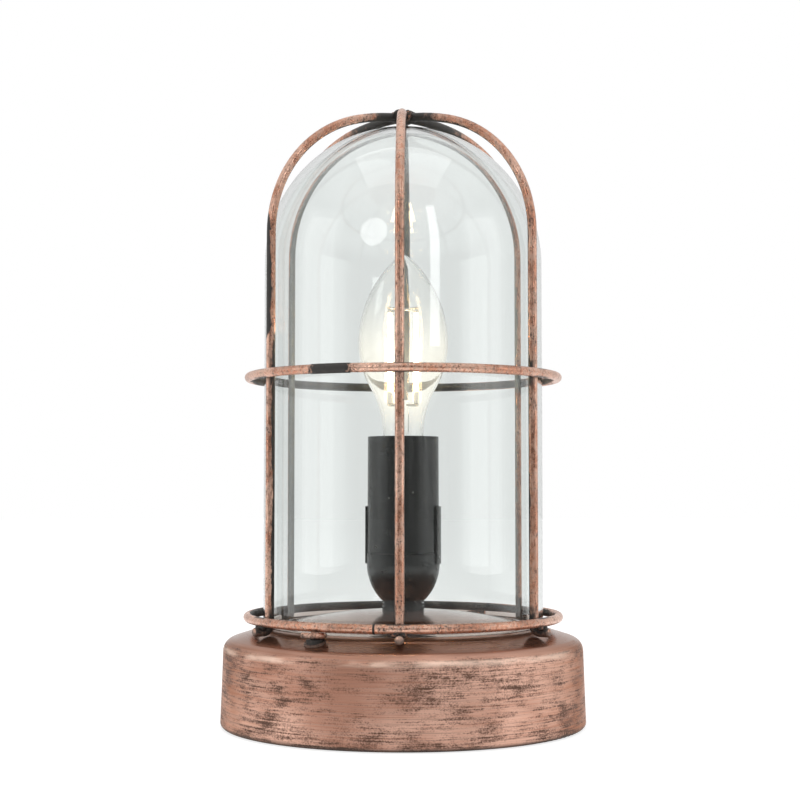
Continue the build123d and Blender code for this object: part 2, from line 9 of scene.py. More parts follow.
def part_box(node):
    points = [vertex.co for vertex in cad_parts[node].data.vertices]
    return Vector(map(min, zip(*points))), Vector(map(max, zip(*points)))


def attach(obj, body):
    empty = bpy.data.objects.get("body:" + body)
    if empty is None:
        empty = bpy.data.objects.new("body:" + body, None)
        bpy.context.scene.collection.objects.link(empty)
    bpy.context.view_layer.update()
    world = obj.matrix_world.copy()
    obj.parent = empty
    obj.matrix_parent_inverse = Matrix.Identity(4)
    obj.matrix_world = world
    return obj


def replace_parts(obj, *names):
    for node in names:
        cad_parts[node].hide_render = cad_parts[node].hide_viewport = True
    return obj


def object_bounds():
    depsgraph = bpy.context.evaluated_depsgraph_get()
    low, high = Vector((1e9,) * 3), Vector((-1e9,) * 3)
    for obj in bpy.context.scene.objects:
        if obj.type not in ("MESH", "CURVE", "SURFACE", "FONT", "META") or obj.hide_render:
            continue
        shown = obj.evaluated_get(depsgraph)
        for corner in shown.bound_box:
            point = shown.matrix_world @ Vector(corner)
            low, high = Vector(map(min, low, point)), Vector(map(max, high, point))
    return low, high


bl_info = {
    "name": "Caged Dome Lamp",
    "version": (1, 0, 0),
    "blender": (4, 5, 0),
    "location": "View3D > Sidebar > Lamp",
    "description": "Dresses a caged glass-dome table lamp and sets it in a small studio",
    "category": "Add Mesh",
}

# The frame, and the sizes of the lamp that are read from it
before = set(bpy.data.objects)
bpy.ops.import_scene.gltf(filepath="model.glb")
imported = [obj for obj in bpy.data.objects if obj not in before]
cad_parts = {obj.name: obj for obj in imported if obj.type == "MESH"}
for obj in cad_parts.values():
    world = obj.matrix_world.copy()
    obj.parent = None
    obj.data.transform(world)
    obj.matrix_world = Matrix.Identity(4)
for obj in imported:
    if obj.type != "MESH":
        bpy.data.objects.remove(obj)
cad_low, cad_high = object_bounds()
glass_low, glass_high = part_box("glass_dome")
mid_ring_low, mid_ring_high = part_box("cage_mid_ring")
base_ring_low, base_ring_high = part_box("cage_base_ring")
hoop_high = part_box("cage_hoop")[1]
crown_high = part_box("cage_crown_weld")[1]
bulb_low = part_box("bulb_envelope")[0]
filament_low, filament_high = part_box("led_filaments")

MM = 0.001
rib_count = 6
wire_radius = (mid_ring_high.z - mid_ring_low.z) / 2
ring_radius = mid_ring_high.x - wire_radius
mid_ring_height = (mid_ring_high.z + mid_ring_low.z) / 2
base_ring_height = (base_ring_high.z + base_ring_low.z) / 2
crown_height = hoop_high.z - wire_radius
glass_radius = glass_high.x
glass_middle = glass_high.z - glass_radius
rib_azimuths = [math.radians(360 // rib_count * number) for number in range(rib_count)]
pad_azimuths = (60, 180, 300)

# Bands over which the base's finish, the shade painted on its rim and the highlight painted on its shoulder
# change: heights, and the last a distance from the axis
base_rim = (0.0006, 0.0024)
base_foot = (0.0, 0.012)
base_shoulder = (0.0300, 0.0345)
highlight_from = (0.0284, 0.0302)
highlight_to = (0.0306, 0.0319)
under_glass = (glass_radius - 0.004, glass_radius - 0.002)

# Bands over which the finish of the cage changes, and over which the bulb's light is painted on its back:
# heights, places across and places to the back; the last is the middle of the soot on the crown
black_edge_from = (mid_ring_height + 0.008, mid_ring_height + 0.020)
black_edge_to = (glass_middle + 0.010, glass_middle + 0.025)
left_rib = (-0.035, -0.025)
front_half = (-0.010, 0.0)
rear_half = (0.0, 0.020)
bulb_lit_rear = (0.0, 0.030)
right_side = (0.01, 0.04)
arches = (glass_middle - 0.012, glass_middle + 0.022)
black_feet = (base_ring_height - wire_radius * 2.4, base_ring_height - wire_radius * 1.2)
crown_soot = (0, 0.010, crown_height)

# Heights over which the finishes of the glass, the bulb and its filaments change, and over which shade on the
# glass rim and a glow on the bulb are painted; the last two lie along a filament, from the middle of a gap
# between two chips
melted_rim = (glass_low.z + 0.002, glass_low.z + 0.004)
glow_from = (bulb_low.z, filament_low.z + 0.004)
glow_to = (filament_high.z - 0.020, filament_high.z + 0.008)
lit_from = (filament_low.z + 0.004, filament_low.z + 0.007)
lit_to = (filament_high.z - 0.004, filament_high.z - 0.001)
chip_half_pitch = 0.0006
chip_edge = (0.0001, 0.0005)

# Beads of weld: their radii along the way out, across and up, in sizes of the bead
crossing_bead = (1.0, 1.15, 0.95)
foot_bead = (1.3, 1.0, 1.0)
crown_middle = (1.3, 1.05, 0.8)
crown_bead = (0.5, 0.55, 0.6)

# How far beside a rib the beads sit, in radii of the wire, and how many bumps they have to a metre
crossing_aside = 0.9
foot_aside = 0.85
bead_noise = 900

# Lights: place, size and power; a side box has three layers, so that it fades towards its edge
side_box_place = (1.087, -0.374, 0.36)
side_box_layers = (("", (0.62, 0.92), 2.2), ("_edge", (0.80, 1.10), 1.5), ("_rim", (0.98, 1.28), 1.0))
round_box = ((-0.55, -1.30, 0.69), (0.56, 0.56), 2.1)
strip_light = ((0.53, -1.06, 0.72), (0.16, 0.955), 1.75)
top_box = ((0.0, -0.10, 1.30), (1.0, 0.9), 4.5)

# What a gloss shows of the room: directions to the back and up, and how far the near floor goes
room_sides = (-0.5, 0.3)
room_behind = (0.88, 0.99)
room_above = (0.35, 0.85)
near_floor = (0.25, 0.90)

BLACK = (0.0, 0.0, 0.0, 1.0)
WHITE = (1.0, 1.0, 1.0, 1.0)

# Kinds of sockets
VALUE = "NodeSocketFloat"
COLOUR = "NodeSocketColor"
VECTOR = "NodeSocketVector"

# Plain finishes: the name, two colours, the range of roughness, other values and the pieces that have it
PLAIN_FINISHES = (
    ("Zinc plate", (0.50, 0.51, 0.53), (0.66, 0.67, 0.68), (0.28, 0.42),
     {"fine": 500.0, "coarse": 140.0, "relief": 0.1, "Metallic": 1.0},
     ("base_cover", "cover_pillars", "cover_screws", "lampholder_nipple", "nipple_washer", "nipple_nut",
      "terminal_block_screw", "terminal_screws")),
    ("Brass", (0.68, 0.47, 0.18), (0.80, 0.59, 0.27), (0.22, 0.38), {"Metallic": 1.0},
     ("holder_terminals", "centre_contact_spring", "sleeve_contact", "thread_sleeve", "terminal_barrels",
      "bulb_contact")),
    ("Nickel plate", (0.60, 0.58, 0.53), (0.74, 0.72, 0.67), (0.16, 0.30), {"Metallic": 1.0},
     ("bulb_cap", "filament_supports")),
    ("Steatite", (0.74, 0.70, 0.62), (0.84, 0.81, 0.74), (0.55, 0.75), {}, ("lampholder_insert",)),
    ("White nylon", (0.80, 0.80, 0.77), (0.87, 0.87, 0.84), (0.38, 0.5), {}, ("terminal_block",)),
    ("Brown jacket", (0.15, 0.065, 0.03), (0.20, 0.09, 0.045), (0.35, 0.5), {}, ("live_wire",)),
    ("Blue jacket", (0.04, 0.12, 0.42), (0.06, 0.16, 0.5), (0.35, 0.5), {}, ("neutral_wire",)),
    ("Black vitrite", (0.012, 0.012, 0.014), (0.03, 0.03, 0.032), (0.1, 0.2), {}, ("bulb_insulator",)),
    ("Grommet rubber", (0.018, 0.018, 0.018), (0.034, 0.033, 0.032), (0.6, 0.8), {}, ("cord_grommet",)),
    ("Felt", (0.02, 0.02, 0.022), (0.06, 0.06, 0.065), (0.9, 1.0),
     {"fine": 4200.0, "relief": 1.0, "Sheen_Weight": 0.6}, ()),
)


def length(name, description, default):
    return FloatProperty(name=name, description=description, default=default, unit="LENGTH", precision=4)


def angle(name, description, degrees):
    return FloatProperty(name=name, description=description, default=math.radians(degrees), subtype="ANGLE")


def count(name, description, default):
    return IntProperty(name=name, description=description, default=default)


def share(name, description, default):
    return FloatProperty(name=name, description=description, default=default, min=0, max=1, subtype="FACTOR")


def colour(name, description, default):
    return FloatVectorProperty(name=name, description=description, default=default, size=3,
                               min=0, max=1, subtype="COLOR")


class LampSizes(bpy.types.PropertyGroup):
    """Sizes of the pieces that are modelled here."""
    glass_wall: length("Glass wall", "Thickness of the blown glass dome", 2.5 * MM)
    glass_steps: count("Glass steps", "Steps round the glass dome", 192)
    glass_rows: count("Glass rows", "Rows from the top of the dome to its straight wall", 48)
    rim_rows: count("Rim rows", "Rows round the melted rim", 16)
    weld_bead: length("Weld bead", "Radius of the bead beside each crossing of the cage", 1.15 * MM)
    foot_drop: length("Foot drop", "From the middle of the base ring down to the ribs' feet", 3.7 * MM)
    crown_weld: length("Crown weld", "Radius of the lump of weld at the crown", 3.4 * MM)
    seam_length: length("Seam", "Length of the butt joint that closes the base ring", 0.8 * MM)
    seam_azimuth: angle("Seam azimuth", "Where that joint is, from the front", -8.5)
    sleeve_length: length("Sleeve", "Length of the sleeve that joins the ends of the middle ring", 15.5 * MM)
    sleeve_azimuth: angle("Sleeve azimuth", "Where that sleeve is, from the front", -24.5)
    sleeve_sides: count("Sleeve sides", "Sides of the joints' round section", 32)
    sleeve_steps: count("Sleeve steps", "Steps along each joint", 12)
    pad_radius: length("Felt pad", "Radius of a felt pad", 8.0 * MM)
    pad_fuzz: length("Felt edge", "Rounding of the felt pads' edges", 0.5 * MM)
    pad_sides: count("Felt sides", "Sides of a felt pad", 64)


class LampColours(bpy.types.PropertyGroup):
    """Colours of the finishes."""
    copper_bright: colour("Bright copper", "Copper where the brush left it bright", (0.74, 0.45, 0.345))
    copper_mid: colour("Copper", "Copper between the strokes", (0.44, 0.22, 0.152))
    copper_brown: colour("Brown copper", "Smoother copper of the domed top", (0.38, 0.19, 0.125))
    # A highlight painted on the base's shoulder
    shoulder_highlight: colour("Shoulder highlight", "Highlight painted on the base's shoulder", (0.92, 0.68, 0.55))
    copper_sheen: colour("Copper sheen", "Tint of the gloss on the base", (0.50, 0.38, 0.32))
    wire_bright: colour("Bright wire", "Cage wire where the brush left it bright", (0.84, 0.54, 0.415))
    wire_copper: colour("Wire", "Cage wire between the strokes", (0.53, 0.26, 0.172))
    speck: colour("Specks", "Pits of the cage wire", (0.06, 0.036, 0.029))
    patina: colour("Patina", "Black left at welds and inside the cage", (0.044, 0.040, 0.037))
    # Painted light of the bulb on the patina inside the back of the cage
    patina_bulb_lit: colour("Bulb-lit patina", "Patina inside the back of the cage, with the bulb's light painted on", (0.21, 0.215, 0.21))
    patina_brown: colour("Brown patina", "Dark colour rubbed into the copper", (0.135, 0.073, 0.053))
    glass_clear: colour("Clear glass", "Tint of the glass dome seen square on", (0.895, 0.915, 0.907))
    glass_edge: colour("Glass edge", "Tint of the glass dome seen edge on", (0.72, 0.755, 0.745))
    # Painted shade and a painted reflection of the copper, for the glass dome's rim
    glass_rim_shade: colour("Glass rim shade", "Shade and copper reflection painted on the melted rim", (0.52, 0.45, 0.41))
    glass_shade: colour("Glass shade", "Tint of the light that the dome lets through", (0.93, 0.945, 0.94))
    bulb_clear: colour("Bulb glass", "Tint of the bulb", (0.985, 0.987, 0.985))
    bulb_edge: colour("Bulb edge", "Tint of the bulb seen edge on", (0.92, 0.925, 0.91))
    bulb_shade: colour("Bulb shade", "Tint of the light that the bulb lets through", (0.97, 0.975, 0.97))
    glow: colour("Glow", "Light that the bulb gives off", (1.0, 0.83, 0.56))
    # A glow painted on the bulb's glass
    painted_glow: colour("Painted glow", "Glow painted on the bulb's glass round the filaments", (1.0, 0.91, 0.75))
    phosphor: colour("Phosphor", "Lit phosphor between the chips", (1.0, 0.62, 0.26))
    phosphor_chip: colour("Chips", "Phosphor coat over the chips", (1.0, 0.8, 0.4))
    filament_end: colour("Filament ends", "Ends of the filaments, which give no light", (0.72, 0.70, 0.66))
    plastic: colour("Lampholder", "Black of the moulded lampholder", (0.005, 0.005, 0.0045))
    plastic_pale: colour("Pale lampholder", "The palest of that black", (0.010, 0.010, 0.009))
    scuff: colour("Scuffs", "Pale scuffs on the lampholder", (0.16, 0.16, 0.15))
    board: colour("Board", "Solder mask of the driver board", (0.03, 0.18, 0.07))
    board_track: colour("Tracks", "Solder mask over copper tracks", (0.08, 0.30, 0.12))
    solder: colour("Solder", "Bright pads of the driver board", (0.7, 0.68, 0.62))


class LampStudio(bpy.types.PropertyGroup):
    """The camera, the lights and the floor."""
    camera_distance: length("Camera distance", "From the lamp's axis to the camera", 0.6251)
    camera_height: length("Camera height", "Above the floor", 0.0913)
    camera_azimuth: angle("Camera azimuth", "From the front, towards +X", 1.3)
    camera_tilt: angle("Camera tilt", "Above level", 3.14)
    lens: FloatProperty(name="Lens", description="Focal length in millimetres", default=72.0)
    shift_x: FloatProperty(name="Shift across", description="Sideways shift of the lens", default=-0.004)
    fill: share("Fill", "Level of the light from all round", 0.6)
    front: share("Front", "Level of the room behind the photographer, in reflections", 0.10)
    sides: share("Sides", "Level of the room beside the lamp, in reflections", 0.85)
    floor_white: share("Floor white", "Light that the floor shows by itself", 0.74)
    floor_grey: colour("Floor grey", "Colour of the floor", (0.45, 0.45, 0.45))
    floor_size: length("Floor", "Width of the floor", 8.0)


# Shader nodes
def fill(tree, socket, value):
    """Feeds a socket from another node's output, or sets it."""
    if isinstance(value, bpy.types.NodeSocket):
        tree.links.new(value, socket)
    else:
        socket.default_value = value


def feed(tree, inputs, values):
    """Fills several inputs, each by its name or number."""
    for key, value in values.items():
        fill(tree, inputs[key], value)


def add(tree, kind, feeds=None, **settings):
    """Adds a node, sets its properties and fills its inputs."""
    made = tree.nodes.new(kind)
    for name, value in settings.items():
        setattr(made, name, value)
    feed(tree, made.inputs, feeds or {})
    return made


def maths(tree, operation, *values, clamp=False):
    made = add(tree, "ShaderNodeMath", dict(enumerate(values)), operation=operation, use_clamp=clamp)
    return made.outputs[0]


def weigh(tree, value, weight, onto, clamp=False):
    """A value times its weight, added onto another."""
    return maths(tree, "MULTIPLY_ADD", value, weight, onto, clamp=clamp)


def both(tree, first, second):
    """What two masks share: their product."""
    return maths(tree, "MULTIPLY", first, second)


def either(tree, *masks):
    """The highest of some masks."""
    highest = masks[0]
    for mask in masks[1:]:
        highest = maths(tree, "MAXIMUM", highest, mask)
    return highest


def swing(tree, pattern):
    """How far a pattern is from its middle."""
    return maths(tree, "SUBTRACT", pattern, 0.5)


def vectors(tree, operation, *values):
    return add(tree, "ShaderNodeVectorMath", dict(enumerate(values)), operation=operation).outputs


def axes(tree, vector):
    """The parts of a vector: to the right, to the back and up."""
    return add(tree, "ShaderNodeSeparateXYZ", {0: vector}).outputs


def between(tree, value, band, start=0.0, end=1.0):
    """A smooth step of value over a band, from its low end to its high end, given as start to end."""
    low, high = band
    feeds = {"Value": value, "From Min": low, "From Max": high, "To Min": start, "To Max": end}
    return add(tree, "ShaderNodeMapRange", feeds, interpolation_type="SMOOTHSTEP").outputs[0]


def fading(tree, value, band, start=1.0):
    """A smooth step down over a band, from start to nothing."""
    return between(tree, value, band, start, 0.0)


def blend(tree, share_of_second, first, second):
    """A mix of two colours, which has its own inputs and output among those of the node."""
    made = add(tree, "ShaderNodeMix", data_type="RGBA")
    for index, value in zip((0, 6, 7), (share_of_second, first, second)):
        fill(tree, made.inputs[index], value)
    return made.outputs[2]


def mottle(tree, vector, scale, detail=3.0, roughness=0.6):
    """Noise over the surface; scale is features to a metre, along each axis."""
    place = vectors(tree, "MULTIPLY", vector, scale)[0]
    feeds = {"Vector": place, "Scale": 1.0, "Detail": detail, "Roughness": roughness}
    return add(tree, "ShaderNodeTexNoise", feeds).outputs[0]


def rgba(values):
    return (*values, 1.0)


def effect(name, inputs, outputs):
    """An empty shader node group with the named sockets."""
    group = bpy.data.node_groups.new(name, "ShaderNodeTree")
    for socket, (kind, value) in inputs.items():
        made = group.interface.new_socket(socket, in_out="INPUT", socket_type=kind)
        if value is not None:
            made.default_value = value
    for socket, kind in outputs.items():
        group.interface.new_socket(socket, in_out="OUTPUT", socket_type=kind)
    return group, group.nodes.new("NodeGroupInput").outputs, group.nodes.new("NodeGroupOutput").inputs


def rubbed_patina(colours):
    """Brushed copper with a dark patina left in clusters of specks and in its strokes."""
    tree, given, out = effect("Rubbed patina", {
        "Vector": (VECTOR, None),
        "Bright": (COLOUR, rgba(colours.copper_bright)),
        "Copper": (COLOUR, rgba(colours.copper_mid)),
        "Patina": (COLOUR, rgba(colours.patina)),
        "Stretch": (VECTOR, (1.0, 1.0, 1.0)),
        "Strokes": (VECTOR, (40.0, 40.0, 1500.0)),
        "Amount": (VALUE, 0.5),
    }, {"Color": COLOUR, "Mask": VALUE, "Roughness": VALUE, "Height": VALUE})
    stretched = vectors(tree, "MULTIPLY", given["Vector"], given["Stretch"])[0]
    clusters = mottle(tree, stretched, scale=(85, 85, 85), detail=5, roughness=0.66)
    cover = mottle(tree, stretched, scale=(22, 22, 14), detail=2)
    strokes = mottle(tree, given["Vector"], scale=given["Strokes"], detail=3)
    short = vectors(tree, "MULTIPLY", given["Strokes"], (3.4, 3.4, 1.2))[0]
    scratches = mottle(tree, given["Vector"], scale=short, detail=2)
    dots = mottle(tree, given["Vector"], scale=(1500, 1500, 1800), detail=1)
    broad = mottle(tree, given["Vector"], scale=(30, 30, 45), detail=2)
    # The patterns add up, and the patina begins where they pass a level that falls as its amount grows.
    summed = maths(tree, "MULTIPLY", swing(tree, cover), 0.3)
    for pattern, weight in ((scratches, 0.34), (clusters, 0.42), (dots, 0.26)):
        summed = weigh(tree, pattern, weight, summed)
    level = weigh(tree, given["Amount"], weight=-0.14, onto=0.60)
    specks = between(tree, maths(tree, "SUBTRACT", summed, level), (0.0, 0.21))
    stroked = both(tree, between(tree, strokes, (0.44, 0.70)), given["Amount"])
    mask = weigh(tree, stroked, 0.42, specks, clamp=True)
    tone = weigh(tree, strokes, 0.5, maths(tree, "MULTIPLY", broad, 0.5))
    copper = blend(tree, between(tree, tone, (0.40, 0.60)), given["Copper"], given["Bright"])
    brushed = between(tree, strokes, (0.3, 0.7), start=0.32, end=0.42)
    feed(tree, out, {
        "Color": blend(tree, mask, copper, given["Patina"]),
        "Mask": mask,
        "Roughness": weigh(tree, mask, 0.25, brushed),
        "Height": weigh(tree, mask, -0.5, strokes),
    })


def inner_side():
    """Masks of the sides of the cage's wires that face the glass, and of those that the brush only grazed."""
    tree, given, out = effect("Inner side", {
        "Vector": (VECTOR, None),
        "Normal": (VECTOR, None),
        "Reach": (VALUE, 0.0),
        "Back Right": (VALUE, 0.0),
    }, {"Inside": VALUE, "Shelter": VALUE})
    across, back, height = axes(tree, given["Vector"])
    level = maths(tree, "MINIMUM", height, glass_middle)
    middle = add(tree, "ShaderNodeCombineXYZ", {2: level}).outputs[0]
    outward = vectors(tree, "NORMALIZE", vectors(tree, "SUBTRACT", given["Vector"], middle)[0])[0]
    # Above the middle ring the left front rib stayed black on its outer edge instead.
    upper = both(tree, between(tree, height, black_edge_from), fading(tree, height, black_edge_to))
    at_left = both(tree, fading(tree, across, left_rib), fading(tree, back, front_half))
    outer = both(tree, upper, at_left)
    flipped = weigh(tree, outer, weight=-2.0, onto=1.0)
    turned = add(tree, "ShaderNodeCombineXYZ", {0: flipped, 1: 1.0, 2: 1.0}).outputs[0]
    outward = vectors(tree, "MULTIPLY", outward, turned)[0]
    facing = vectors(tree, "DOT_PRODUCT", outward, given["Normal"])[1]
    ragged = mottle(tree, given["Vector"], scale=(620, 620, 300), detail=5, roughness=0.7)
    wavy = mottle(tree, given["Vector"], scale=(40, 40, 28), detail=2)
    edge = facing
    for pattern, weight in ((ragged, 1.3), (wavy, 1.4)):
        edge = weigh(tree, swing(tree, pattern), weight, edge)
    # The brush got further round the wire on the arches and at the right, and least at the back.
    arch = between(tree, height, arches, end=0.85)
    arch = both(tree, arch, maths(tree, "SUBTRACT", 1.0, outer))
    rear = between(tree, back, rear_half)
    right = between(tree, across, right_side, end=weigh(tree, rear, given["Back Right"], onto=0.55))
    reach = weigh(tree, maths(tree, "ADD", rear, outer), 0.35, given["Reach"])
    past = maths(tree, "ADD", maths(tree, "SUBTRACT", edge, reach), either(tree, arch, right))
    feed(tree, out, {
        "Inside": fading(tree, past, (-0.16, 0.12)),
        "Shelter": fading(tree, facing, (0.30, 0.85)),
    })


def weld_soot(sizes):
    """Masks of the soot round the crossings, and of what stayed black: the crown and the sleeve; the feet
    below the base ring are darkened too.
    """
    tree, given, out = effect("Weld soot", {
        "Vector": (VECTOR, None),
        "Spread": (VALUE, 0.011),
        "Crown Spread": (VALUE, 0.040),
    }, {"Soot": VALUE, "Black": VALUE})
    raggedness = 1.2
    soot_edge = (0.30, 0.80)
    across, back, height = axes(tree, given["Vector"])
    ragged = swing(tree, mottle(tree, given["Vector"], scale=(420, 420, 300), detail=4))
    azimuth = maths(tree, "ARCTAN2", across, back)
    aside = maths(tree, "MULTIPLY", maths(tree, "PINGPONG", azimuth, math.pi / rib_count), ring_radius)
    rings = []
    for ring_height in (mid_ring_height, base_ring_height):
        above = maths(tree, "SUBTRACT", height, ring_height)
        squares = weigh(tree, aside, aside, maths(tree, "MULTIPLY", above, above))
        rings.append(fading(tree, maths(tree, "SQRT", squares), (0.0, given["Spread"])))
    soot = weigh(tree, ragged, raggedness, either(tree, *rings))
    away = vectors(tree, "DISTANCE", given["Vector"], crown_soot)[1]
    crown = fading(tree, away, (0.0, given["Crown Spread"]), start=1.4)
    crown = between(tree, weigh(tree, ragged, raggedness, crown), soot_edge)
    sleeve = around(ring_radius, sizes.sleeve_azimuth, mid_ring_height)
    along = weigh(tree, ragged, 0.012, vectors(tree, "DISTANCE", given["Vector"], sleeve)[1])
    scorched = fading(tree, along, (sizes.sleeve_length / 2, sizes.sleeve_length * 0.6))
    feet = fading(tree, weigh(tree, ragged, 0.004, height), black_feet, start=0.8)
    feed(tree, out, {
        "Soot": between(tree, soot, soot_edge),
        "Black": either(tree, crown, scorched, feet),
    })


def grain():
    """Fine mottling that many finishes share: a value about a half, and a height."""
    tree, given, out = effect("Grain", {
        "Vector": (VECTOR, None),
        "Fine": (VALUE, 900.0),
        "Coarse": (VALUE, 60.0),
    }, {"Value": VALUE, "Height": VALUE})
    patterns = []
    for size, detail in (("Fine", 4.0), ("Coarse", 3.0)):
        feeds = {"Vector": given["Vector"], "Scale": given[size], "Detail": detail}
        patterns.append(add(tree, "ShaderNodeTexNoise", feeds).outputs[0])
    fine, coarse = patterns
    mixed = weigh(tree, fine, 0.4, maths(tree, "MULTIPLY", coarse, 0.6))
    feed(tree, out, {"Value": mixed, "Height": fine})


def place_group(tree, name, feeds):
    """Puts one of the effects above into a material."""
    made = tree.nodes.new("ShaderNodeGroup")
    made.node_tree = bpy.data.node_groups[name]
    feed(tree, made.inputs, feeds)
    return made.outputs


def new_finish(name, **shader_values):
    """A material with its Principled shader, ready for patterns on Object coordinates."""
    material = bpy.data.materials.new(name)
    material.use_nodes = True
    tree = material.node_tree
    tree.nodes.clear()
    shader = tree.nodes.new("ShaderNodeBsdfPrincipled")
    out = tree.nodes.new("ShaderNodeOutputMaterial")
    tree.links.new(shader.outputs[0], out.inputs[0])
    for key, value in shader_values.items():
        shader.inputs[key.replace("_", " ")].default_value = value
    place = tree.nodes.new("ShaderNodeTexCoord").outputs["Object"]
    return material, tree, shader, place


def raise_surface(tree, shader, height, distance, strength):
    """Lets the light catch a height, without changing the mesh."""
    bump = add(tree, "ShaderNodeBump", {"Height": height, "Distance": distance, "Strength": strength})
    tree.links.new(bump.outputs[0], shader.inputs["Normal"])


def let_lamps_through(tree, shader, tint):
    """Rays to the lamps pass the glass straight, so that what is behind it is lit."""
    clear = add(tree, "ShaderNodeBsdfTransparent", {0: rgba(tint)})
    path = tree.nodes.new("ShaderNodeLightPath")
    feeds = {0: path.outputs["Is Shadow Ray"], 1: shader.outputs[0], 2: clear.outputs[0]}
    mixed = add(tree, "ShaderNodeMixShader", feeds)
    out = next(node for node in tree.nodes if node.type == "OUTPUT_MATERIAL")
    tree.links.new(mixed.outputs[0], out.inputs[0])


# Finishes
def spun_copper_finish(colours):
    """The base: strokes run round it, its lacquered top is smooth and brown, a highlight is painted along its
    shoulder and its bottom rim is darkened, partly with painted shade.
    """
    material, tree, shader, place = new_finish("Spun antique copper", Coat_Roughness=0.16,
                                               Specular_Tint=rgba(colours.copper_sheen))
    height = axes(tree, place)[2]
    on_top = between(tree, height, base_shoulder)
    low_down = fading(tree, height, base_foot, start=0.22)
    bright = blend(tree, on_top, rgba(colours.copper_bright), rgba(colours.copper_mid))
    copper = blend(tree, on_top, rgba(colours.copper_mid), rgba(colours.copper_brown))
    # The shift picks a part of the pattern with its dark clusters in good places.
    moved = vectors(tree, "ADD", place, (1.13, 0.47, 0.31))[0]
    amount = between(tree, on_top, (0.0, 1.0), start=1.0, end=0.02)
    made = place_group(tree, "Rubbed patina", {
        "Vector": moved, "Bright": bright, "Copper": copper, "Patina": rgba(colours.patina_brown),
        "Stretch": (1.3, 1.3, 3.4), "Strokes": (22.0, 22.0, 1500.0),
        "Amount": maths(tree, "ADD", amount, low_down),
    })
    # A highlight is painted along the shoulder, broken into patches by the noise below.
    shoulder = both(tree, between(tree, height, highlight_from), fading(tree, height, highlight_to))
    rubbed = mottle(tree, place, scale=(38, 38, 200), detail=3)
    painted_highlight = both(tree, shoulder, between(tree, rubbed, (0.36, 0.60), end=0.75))
    # The bottom rim is painted near black: partly its own dark edge, partly painted shade where it meets the
    # floor.
    dark_rim_and_shade = fading(tree, height, base_rim, start=0.9)
    metal = blend(tree, painted_highlight, made["Color"], rgba(colours.shoulder_highlight))
    # The glass kept the lacquer under it whole.
    radius = vectors(tree, "LENGTH", vectors(tree, "MULTIPLY", place, (1.0, 1.0, 0.0))[0])[1]
    sheltered = fading(tree, radius, under_glass)
    rough = weigh(tree, on_top, -0.07, made["Roughness"])
    lacquer = between(tree, on_top, (0.0, 1.0), start=0.05, end=0.55)
    feed(tree, shader.inputs, {
        "Base Color": blend(tree, dark_rim_and_shade, metal, rgba(colours.patina)),
        "Metallic": weigh(tree, made["Mask"], weight=-0.6, onto=0.92),
        "Roughness": weigh(tree, sheltered, -0.08, rough),
        "Coat Weight": weigh(tree, sheltered, 0.45, lacquer),
    })
    raise_surface(tree, shader, made["Height"], distance=0.0003, strength=0.2)
    return material


def wire_copper_finish(colours, name, reach, strokes, amount, back_right, grey):
    """Cage wire: copper that was brushed on its outside, black where it was welded or faces the glass; at the
    back that black is lightened by painted bulb light.
    """
    material, tree, shader, place = new_finish(name)
    normal = tree.nodes.new("ShaderNodeTexCoord").outputs["Normal"]
    side = place_group(tree, "Inner side", {"Vector": place, "Normal": normal, "Reach": reach,
                                            "Back Right": back_right})
    soot = place_group(tree, "Weld soot", {"Vector": place})
    made = place_group(tree, "Rubbed patina", {
        "Vector": place, "Stretch": (12.0, 12.0, 9.0), "Strokes": strokes, "Amount": amount,
        "Bright": rgba(colours.wire_bright), "Copper": rgba(colours.wire_copper),
        "Patina": rgba(colours.speck),
    })
    burnt = both(tree, soot["Soot"], side["Shelter"])
    black = either(tree, burnt, soot["Black"], side["Inside"])
    # Towards the back the black is lightened to grey: painted light of the bulb on the wires' inner faces;
    # grey sets how much.
    behind = between(tree, axes(tree, place)[1], bulb_lit_rear, end=grey)
    scale = blend(tree, behind, rgba(colours.patina), rgba(colours.patina_bulb_lit))
    dark = either(tree, black, made["Mask"])
    feed(tree, shader.inputs, {
        "Base Color": blend(tree, black, made["Color"], scale),
        "Metallic": weigh(tree, dark, weight=-0.6, onto=0.90),
        "Roughness": weigh(tree, black, 0.2, maths(tree, "SUBTRACT", made["Roughness"], 0.09)),
    })
    raise_surface(tree, shader, made["Height"], distance=0.0003, strength=0.35)
    return material


def weld_finish(colours):
    """Weld metal: black scale with a little copper rubbed on its high spots."""
    material, tree, shader, place = new_finish("Weld scale", Metallic=0.6)
    made = place_group(tree, "Grain", {"Vector": place, "Fine": 1400.0, "Coarse": 300.0})
    rubbed = between(tree, made["Value"], (0.52, 0.66))
    feed(tree, shader.inputs, {
        "Base Color": blend(tree, rubbed, rgba(colours.patina), rgba(colours.copper_brown)),
        "Roughness": between(tree, made["Value"], (0.3, 0.7), start=0.65, end=0.40),
    })
    raise_surface(tree, shader, made["Height"], distance=0.0004, strength=0.6)
    return material


def dome_glass_finish(colours):
    """Clear blown glass, a little grey, darker where it is seen edge on."""
    material, tree, shader, place = new_finish("Blown glass", Roughness=0.0, IOR=1.48,
                                               Transmission_Weight=1.0)
    facing = add(tree, "ShaderNodeLayerWeight", {"Blend": 0.22}).outputs["Facing"]
    tint = blend(tree, facing, rgba(colours.glass_clear), rgba(colours.glass_edge))
    # The melted rim is painted darker and brown: painted shade and a painted reflection of the copper it
    # stands in.
    dark_rim_and_shade = fading(tree, axes(tree, place)[2], melted_rim)
    fill(tree, shader.inputs["Base Color"], blend(tree, dark_rim_and_shade, tint, rgba(colours.glass_rim_shade)))
    waves = mottle(tree, place, scale=(26, 26, 12), detail=1)
    raise_surface(tree, shader, waves, distance=0.0004, strength=0.10)
    let_lamps_through(tree, shader, colours.glass_shade)
    return material


